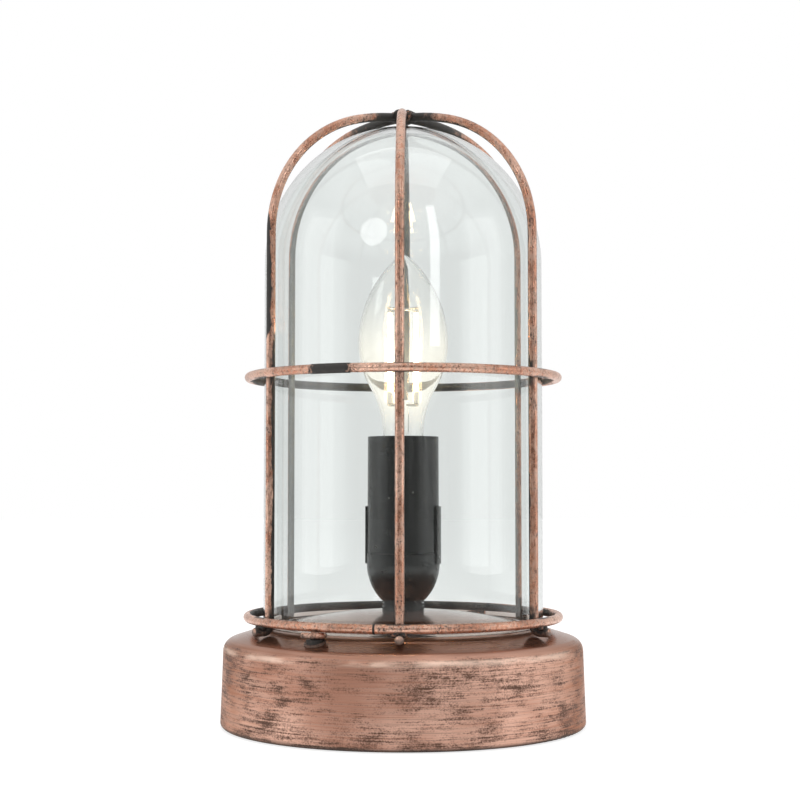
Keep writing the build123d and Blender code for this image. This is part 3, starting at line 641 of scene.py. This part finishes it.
def bulb_glass_finish(colours):
    """Thin clear glass, with a glow painted round the filaments."""
    material, tree, shader, place = new_finish("Bulb glass", Roughness=0.0, IOR=1.3, Transmission_Weight=1.0,
                                               Emission_Strength=0.09)
    facing = add(tree, "ShaderNodeLayerWeight", {"Blend": 0.18}).outputs["Facing"]
    tint = blend(tree, facing, rgba(colours.bulb_clear), rgba(colours.bulb_edge))
    # The glow is painted: between these heights the glass gives off a weak warm light and is tinted towards
    # it.
    height = axes(tree, place)[2]
    level = both(tree, between(tree, height, glow_from), between(tree, height, glow_to, start=1.0, end=0.1))
    feed(tree, shader.inputs, {
        "Base Color": blend(tree, maths(tree, "MULTIPLY", level, 0.15), tint, rgba(colours.painted_glow)),
        "Emission Color": blend(tree, level, BLACK, rgba(colours.painted_glow)),
    })
    let_lamps_through(tree, shader, colours.bulb_shade)
    return material


def filament_finish(colours):
    """Lit phosphor: a row of bright chips under a warm coat."""
    material, tree, shader, place = new_finish("Lit phosphor", Roughness=0.5, Emission_Strength=26.0)
    height = axes(tree, place)[2]
    chip = between(tree, maths(tree, "PINGPONG", height, chip_half_pitch), chip_edge)
    lit = both(tree, between(tree, height, lit_from), fading(tree, height, lit_to))
    light = blend(tree, chip, rgba(colours.phosphor), rgba(colours.glow))
    coat = blend(tree, chip, rgba(colours.phosphor), rgba(colours.phosphor_chip))
    feed(tree, shader.inputs, {
        "Emission Color": blend(tree, lit, BLACK, light),
        "Base Color": blend(tree, lit, rgba(colours.filament_end), coat),
    })
    return material


def plastic_finish(colours):
    """Moulded black thermoplastic with a fine spark texture and a few pale scuffs."""
    material, tree, shader, place = new_finish("Black thermoplastic", Specular_IOR_Level=0.85)
    made = place_group(tree, "Grain", {"Vector": place, "Fine": 2600.0, "Coarse": 90.0})
    scuffed = between(tree, mottle(tree, place, scale=(420, 420, 300), detail=2), (0.70, 0.78))
    pale = between(tree, made["Value"], (0.35, 0.65))
    tone = blend(tree, pale, rgba(colours.plastic), rgba(colours.plastic_pale))
    feed(tree, shader.inputs, {
        "Base Color": blend(tree, scuffed, tone, rgba(colours.scuff)),
        "Roughness": between(tree, made["Value"], (0.3, 0.7), start=0.22, end=0.28),
    })
    raise_surface(tree, shader, made["Height"], distance=0.0002, strength=0.15)
    return material


def plain_finish(name, first, second, rough, fine=900.0, coarse=60.0, relief=0.2, **shader_values):
    """A finish of two close colours, mottled, with a grain that the light catches."""
    material, tree, shader, place = new_finish(name, **shader_values)
    made = place_group(tree, "Grain", {"Vector": place, "Fine": fine, "Coarse": coarse})
    feed(tree, shader.inputs, {
        "Base Color": blend(tree, between(tree, made["Value"], (0.35, 0.65)), rgba(first), rgba(second)),
        "Roughness": between(tree, made["Value"], (0.3, 0.7), *rough),
    })
    raise_surface(tree, shader, made["Height"], distance=0.0002, strength=relief)
    return material


def board_finish(colours):
    """Solder mask with copper tracks and bright pads."""
    material, tree, shader, place = new_finish("Driver board", Roughness=0.35)
    tracks = add(tree, "ShaderNodeTexBrick", {"Vector": place, "Scale": 420.0, "Mortar Size": 0.03})
    pads = between(tree, mottle(tree, place, scale=(900, 900, 900), detail=0), (0.62, 0.64))
    mask = blend(tree, tracks.outputs["Fac"], rgba(colours.board), rgba(colours.board_track))
    feed(tree, shader.inputs, {
        "Base Color": blend(tree, pads, mask, rgba(colours.solder)),
        "Metallic": pads,
    })
    return material


# Mesh helpers
def make_object(name, bm, material):
    """Turns a finished bmesh into an object at the origin."""
    mesh = bpy.data.meshes.new(name)
    bm.to_mesh(mesh)
    bm.free()
    mesh.polygons.foreach_set("use_smooth", [True] * len(mesh.polygons))
    mesh.materials.append(material)
    made = bpy.data.objects.new(name, mesh)
    bpy.context.scene.collection.objects.link(made)
    return made


def finish_piece(name, bm, material, body):
    """Closes a bmesh, makes it a piece of the lamp and says what it rides on and is made of."""
    bmesh.ops.remove_doubles(bm, verts=bm.verts, dist=0.01 * MM)
    bmesh.ops.recalc_face_normals(bm, faces=bm.faces)
    made = make_object(name, bm, material)
    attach(made, body)
    return made


def bend(bm, vert, centre, angle, steps):
    """Carries an outline on from vert round a centre in the XZ plane, anticlockwise from the front."""
    made = bmesh.ops.spin(bm, geom=[vert], cent=centre, axis=(0, -1, 0), angle=angle, steps=steps)
    return next(item for item in made["geom_last"] if isinstance(item, bmesh.types.BMVert))


def run(bm, vert, place):
    """Carries an outline on from vert in a straight line."""
    made = bmesh.ops.extrude_vert_indiv(bm, verts=[vert])["verts"][0]
    made.co = place
    return made


def turn_outline(bm, steps):
    """Turns the whole outline once round the lamp's axis."""
    bmesh.ops.spin(bm, geom=bm.verts[:] + bm.edges[:], cent=(0, 0, 0), axis=(0, 0, 1),
                   angle=2 * math.pi, steps=steps, use_merge=True)


def uneven(size, swell, spread, place):
    """A size that differs from place to place, as a welder's beads do."""
    return size * (swell + spread * noise.noise(Vector(place)))


def lump(bm, place, radii, turn, roughness):
    """One uneven bead of weld, with its radii along the way out, across and up."""
    matrix = Matrix.Translation(place) @ Matrix.Rotation(turn, 4, "Z") @ Matrix.Diagonal((*radii, 1.0))
    made = bmesh.ops.create_icosphere(bm, subdivisions=3, radius=1.0, matrix=matrix)["verts"]
    for vert in made:
        push = 1 + roughness * noise.noise(vert.co * bead_noise)
        vert.co = Vector(place) + (vert.co - Vector(place)) * push


def around(radius, azimuth, height):
    """A point of the lamp; an azimuth is counted from the front, towards +X."""
    return Vector((radius * math.sin(azimuth), -radius * math.cos(azimuth), height))


def paint(material, *names):
    """Gives pieces of the frame a finish."""
    for name in names:
        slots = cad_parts[name].material_slots
        slots[0].material = material


# Operators
class LAMP_OT_finishes(bpy.types.Operator):
    """Gives every piece of the lamp's frame its finish"""
    bl_idname = "lamp.finishes"
    bl_label = "Finish the lamp's pieces"

    def execute(self, context):
        colours = context.scene.lamp_colours
        rubbed_patina(colours)
        weld_soot(context.scene.lamp_sizes)
        inner_side()
        grain()
        paint(spun_copper_finish(colours), "base_pan")
        rib = wire_copper_finish(colours, "Antique copper rib", reach=0.15, strokes=(620, 620, 240),
                                 amount=0.75, back_right=0.80, grey=1.0)
        paint(rib, "cage_hoop", "cage_front_rib", "cage_right_rib", "cage_back_rib", "cage_left_rib")
        ring = wire_copper_finish(colours, "Antique copper ring", reach=-0.3, strokes=(640, 640, 640),
                                  amount=0.75, back_right=0.0, grey=0.15)
        paint(ring, "cage_mid_ring", "cage_base_ring", "cage_front_hook", "cage_back_hook", "post_washers")
        paint(weld_finish(colours), "locating_posts")
        paint(bulb_glass_finish(colours), "bulb_envelope", "bulb_stem")
        paint(filament_finish(colours), "led_filaments")
        paint(plastic_finish(colours), "lampholder_cap", "lampholder_skirt")
        paint(board_finish(colours), "led_driver")
        for name, first, second, rough, others, pieces in PLAIN_FINISHES:
            paint(plain_finish(name, first, second, rough, **others), *pieces)
        dome_glass_finish(colours)
        return {"FINISHED"}


class LAMP_OT_glass(bpy.types.Operator):
    """Blows the glass dome, with its rim melted round"""
    bl_idname = "lamp.glass"
    bl_label = "Blow the glass dome"

    def execute(self, context):
        sizes = context.scene.lamp_sizes
        rim = sizes.glass_wall / 2
        quarter = math.pi / 2
        inner = glass_radius - sizes.glass_wall
        foot = glass_low.z + rim
        # Rows close to the ends of the wall keep its shading straight, so that it doesn't act as a lens.
        rows = (glass_middle - rim, foot + rim)
        bm = bmesh.new()
        vert = bm.verts.new((0, 0, glass_high.z))
        vert = bend(bm, vert, (0, 0, glass_middle), -quarter, sizes.glass_rows)
        for height in (*rows, foot):
            vert = run(bm, vert, (glass_radius, 0, height))
        vert = bend(bm, vert, (glass_radius - rim, 0, foot), -2 * quarter, sizes.rim_rows)
        for height in (*reversed(rows), glass_middle):
            vert = run(bm, vert, (inner, 0, height))
        bend(bm, vert, (0, 0, glass_middle), quarter, sizes.glass_rows)
        turn_outline(bm, sizes.glass_steps)
        material = bpy.data.materials["Blown glass"]
        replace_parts(finish_piece("blown_glass_dome", bm, material, "glass"), "glass_dome")
        return {"FINISHED"}


class LAMP_OT_welds(bpy.types.Operator):
    """Welds the crossings, the feet and the crown of the cage, and joins the ends of its rings"""
    bl_idname = "lamp.welds"
    bl_label = "Weld the cage"

    def execute(self, context):
        sizes = context.scene.lamp_sizes
        material = bpy.data.materials["Weld scale"]
        self.weld_crossings(sizes, material)
        self.weld_crown(sizes, material)
        self.join_ring(sizes, "ring_seam", material, base_ring_height, sizes.seam_azimuth,
                       sizes.seam_length, swell=1.05)
        self.join_ring(sizes, "ring_sleeve", bpy.data.materials["Antique copper ring"], mid_ring_height,
                       sizes.sleeve_azimuth, sizes.sleeve_length, swell=1.09)
        return {"FINISHED"}

    def weld_crossings(self, sizes, material):
        """Puts two beads inside each crossing of a rib and a ring, and two beside each foot."""
        bm = bmesh.new()
        seat = ring_radius - wire_radius
        for height in (mid_ring_height, base_ring_height):
            for turn in self.beside_ribs(crossing_aside, seat):
                size = uneven(sizes.weld_bead, swell=1, spread=0.25, place=(turn * 9, height * 40, 1.5))
                radii = [size * part for part in crossing_bead]
                lump(bm, around(seat, turn, height), radii, turn, roughness=0.16)
        under_ring = base_ring_height - sizes.foot_drop / 2
        for turn in self.beside_ribs(foot_aside, ring_radius):
            size = uneven(sizes.weld_bead, swell=1.1, spread=0.3, place=(turn * 9, 7.5, 0.5))
            radii = [size * part for part in foot_bead]
            lump(bm, around(ring_radius, turn, under_ring), radii, turn, roughness=0.25)
        finish_piece("crossing_welds", bm, material, "cage")

    def beside_ribs(self, aside, radius):
        """Azimuths to both sides of every rib; aside is counted in radii of the wire."""
        return [azimuth + side * wire_radius * aside / radius for azimuth in rib_azimuths for side in (-1, 1)]

    def weld_crown(self, sizes, material):
        """Heaps weld on the crown, with a smaller bead between each two ribs."""
        bm = bmesh.new()
        size = sizes.crown_weld
        radii = [size * part for part in crown_middle]
        lump(bm, (size * 0.5, 0, crown_high.z - radii[2]), radii, turn=0.4, roughness=0.18)
        bead_height = crown_height + wire_radius * 0.3
        for azimuth in rib_azimuths:
            turn = azimuth + math.pi / rib_count
            push = uneven(1, swell=1, spread=0.3, place=(math.sin(turn) * 3, math.cos(turn) * 3, 0.5))
            out, across, up = (size * part for part in crown_bead)
            radii = (out * push, across, up * push)
            lump(bm, around(size * 1.1, turn, bead_height), radii, turn, roughness=0.2)
        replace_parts(finish_piece("crown_weld", bm, material, "cage"), "cage_crown_weld")

    def join_ring(self, sizes, name, material, height, azimuth, reach, swell):
        """Puts a short sleeve round a ring, where its ends meet."""
        bm = bmesh.new()
        span = reach / ring_radius
        start = azimuth - span / 2
        matrix = (Matrix.Translation(around(ring_radius, start, height)) @ Matrix.Rotation(start, 4, "Z")
                  @ Matrix.Rotation(math.pi / 2, 4, "Y"))
        made = bmesh.ops.create_circle(bm, cap_ends=True, segments=sizes.sleeve_sides,
                                       radius=wire_radius * swell, matrix=matrix)
        faces = list({face for vert in made["verts"] for face in vert.link_faces})
        bmesh.ops.spin(bm, geom=faces, cent=(0, 0, 0), axis=(0, 0, 1), angle=span, steps=sizes.sleeve_steps)
        finish_piece(name, bm, material, "cage")


class LAMP_OT_felt(bpy.types.Operator):
    """Cuts the felt pads under the base"""
    bl_idname = "lamp.felt"
    bl_label = "Cut the felt pads"

    def execute(self, context):
        sizes = context.scene.lamp_sizes
        low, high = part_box("felt_pads")
        circle = high.y - sizes.pad_radius
        bm = bmesh.new()
        for azimuth in pad_azimuths:
            middle = around(circle, math.radians(azimuth), (low.z + high.z) / 2)
            made = bmesh.ops.create_cone(bm, cap_ends=True, segments=sizes.pad_sides, depth=high.z - low.z,
                                         radius1=sizes.pad_radius, radius2=sizes.pad_radius,
                                         matrix=Matrix.Translation(middle))
            rims = {edge for vert in made["verts"] for edge in vert.link_edges
                    if edge.verts[0].co.z == edge.verts[1].co.z and len(edge.link_faces) == 2}
            bmesh.ops.bevel(bm, geom=list(rims), offset=sizes.pad_fuzz, segments=3, profile=0.5,
                            affect="EDGES", material=-1)
        material = bpy.data.materials["Felt"]
        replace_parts(finish_piece("felt_discs", bm, material, "base"), "felt_pads")
        return {"FINISHED"}


class LAMP_OT_stage(bpy.types.Operator):
    """Sets the floor, the background, the lights and the camera"""
    bl_idname = "lamp.stage"
    bl_label = "Set the studio"

    def execute(self, context):
        scene = context.scene
        studio = scene.lamp_studio
        scene.view_settings.view_transform = "Standard"
        self.lay_floor(studio)
        self.light_world(scene, studio)
        self.hang_lights()
        self.set_camera(scene, studio)
        return {"FINISHED"}

    def mirrored(self, tree, path):
        """1 for what is seen in a gloss, through glass or not, and 0 for the rest."""
        return maths(tree, "MINIMUM", path["Glossy Depth"], 1.0)

    def room_level(self, tree, toward, studio):
        """What a gloss shows of the room: dark in front, pale beside, white behind and above."""
        _, back, up = axes(tree, toward)
        sides = between(tree, back, room_sides, studio.front, studio.sides)
        white = either(tree, between(tree, back, room_behind), between(tree, up, room_above))
        return either(tree, sides, white)

    def lay_floor(self, studio):
        """Lays a floor that is white to the eye and takes the lamp's shadow."""
        material = bpy.data.materials.new("Floor")
        material.use_nodes = True
        tree = material.node_tree
        tree.nodes.clear()
        path = tree.nodes.new("ShaderNodeLightPath").outputs
        seen = either(tree, path["Is Camera Ray"], path["Is Glossy Ray"], path["Is Transmission Ray"])
        # A gloss shows the far floor as dim as the room beyond it.
        place = tree.nodes.new("ShaderNodeTexCoord").outputs["Object"]
        room = self.room_level(tree, vectors(tree, "NORMALIZE", place)[0], studio)
        near = fading(tree, vectors(tree, "LENGTH", place)[1], near_floor)
        shown = either(tree, near, room)
        lit = weigh(tree, self.mirrored(tree, path), maths(tree, "SUBTRACT", shown, 1.0), 1.0)
        matte = add(tree, "ShaderNodeBsdfDiffuse", {0: blend(tree, lit, BLACK, rgba(studio.floor_grey))})
        strength = maths(tree, "MULTIPLY", both(tree, seen, lit), studio.floor_white)
        white = add(tree, "ShaderNodeEmission", {0: WHITE, 1: strength})
        summed = add(tree, "ShaderNodeAddShader", {0: matte.outputs[0], 1: white.outputs[0]})
        out = tree.nodes.new("ShaderNodeOutputMaterial")
        tree.links.new(summed.outputs[0], out.inputs[0])
        bm = bmesh.new()
        bmesh.ops.create_grid(bm, x_segments=1, y_segments=1, size=studio.floor_size / 2)
        make_object("floor", bm, material)

    def light_world(self, scene, studio):
        """Makes the background white to the eye, an even fill to the lamp and a room to its gloss."""
        world = bpy.data.worlds.new("studio")
        world.use_nodes = True
        tree = world.node_tree
        tree.nodes.clear()
        path = tree.nodes.new("ShaderNodeLightPath").outputs
        toward = add(tree, "ShaderNodeTexCoord").outputs["Generated"]
        gloss = self.room_level(tree, toward, studio)
        straight = either(tree, path["Is Camera Ray"], path["Is Transmission Ray"])
        plain = weigh(tree, straight, 1 - studio.fill, studio.fill)
        level = weigh(tree, self.mirrored(tree, path), maths(tree, "SUBTRACT", gloss, plain), plain)
        back = add(tree, "ShaderNodeBackground", {0: WHITE, 1: level})
        out = tree.nodes.new("ShaderNodeOutputWorld")
        tree.links.new(back.outputs[0], out.inputs[0])
        scene.world = world

    def hang_lights(self):
        """Hangs the two side boxes, a round one and a strip in front, and one above that no gloss shows."""
        middle = (0, 0, cad_high.z / 2)
        across, back, height = side_box_place
        for name, side in (("left_box", -1), ("right_box", 1)):
            for layer, size, power in side_box_layers:
                self.hang_light(name + layer, (side * across, back, height), (0, 0, height), size, power)
        place, size, power = round_box
        self.hang_light("round_box", place, middle, size, power, "DISK")
        place, size, power = strip_light
        self.hang_light("strip", place, (0, 0, place[2]), size, power)
        place, size, power = top_box
        self.hang_light("top_box", place, middle, size, power).visible_glossy = False

    def hang_light(self, name, place, target, size, power, shape="RECTANGLE"):
        """Hangs one soft light and points it at a target."""
        lamp = bpy.data.lights.new(name, "AREA")
        lamp.shape = shape
        lamp.size, lamp.size_y = size
        lamp.energy = power
        made = bpy.data.objects.new(name, lamp)
        made.location = place
        made.rotation_euler = (Vector(target) - Vector(place)).to_track_quat("-Z", "Y").to_euler()
        bpy.context.scene.collection.objects.link(made)
        return made

    def set_camera(self, scene, studio):
        """Sets the camera in front of the lamp."""
        camera = bpy.data.cameras.new("camera")
        camera.lens = studio.lens
        camera.sensor_width = 36.0
        camera.shift_x = studio.shift_x
        camera.clip_start = 0.01
        view = bpy.data.objects.new("camera", camera)
        view.location = around(studio.camera_distance, studio.camera_azimuth, studio.camera_height)
        view.rotation_euler = (math.pi / 2 + studio.camera_tilt, 0, studio.camera_azimuth)
        scene.collection.objects.link(view)
        scene.camera = view


class LAMP_PT_panel(bpy.types.Panel):
    """Lists the lamp's steps, sizes, colours and studio"""
    bl_idname = "LAMP_PT_panel"
    bl_label = "Caged dome lamp"
    bl_space_type = "VIEW_3D"
    bl_region_type = "UI"
    bl_category = "Lamp"

    def draw(self, context):
        layout = self.layout
        for operator in STEPS:
            layout.operator(operator.bl_idname)
        for group in (context.scene.lamp_sizes, context.scene.lamp_colours, context.scene.lamp_studio):
            for name in group.bl_rna.properties.keys():
                if name not in ("rna_type", "name"):
                    layout.prop(group, name)


STEPS = (LAMP_OT_finishes, LAMP_OT_glass, LAMP_OT_welds, LAMP_OT_felt, LAMP_OT_stage)
CLASSES = (LampSizes, LampColours, LampStudio, *STEPS, LAMP_PT_panel)


def register():
    for item in CLASSES:
        bpy.utils.register_class(item)
    bpy.types.Scene.lamp_sizes = PointerProperty(type=LampSizes)
    bpy.types.Scene.lamp_colours = PointerProperty(type=LampColours)
    bpy.types.Scene.lamp_studio = PointerProperty(type=LampStudio)


def unregister():
    del bpy.types.Scene.lamp_studio
    del bpy.types.Scene.lamp_colours
    del bpy.types.Scene.lamp_sizes
    for item in reversed(CLASSES):
        bpy.utils.unregister_class(item)


def main():
    register()
    bpy.ops.lamp.finishes()
    bpy.ops.lamp.glass()
    bpy.ops.lamp.welds()
    bpy.ops.lamp.felt()
    bpy.ops.lamp.stage()


if __name__ == "__main__":
    main()
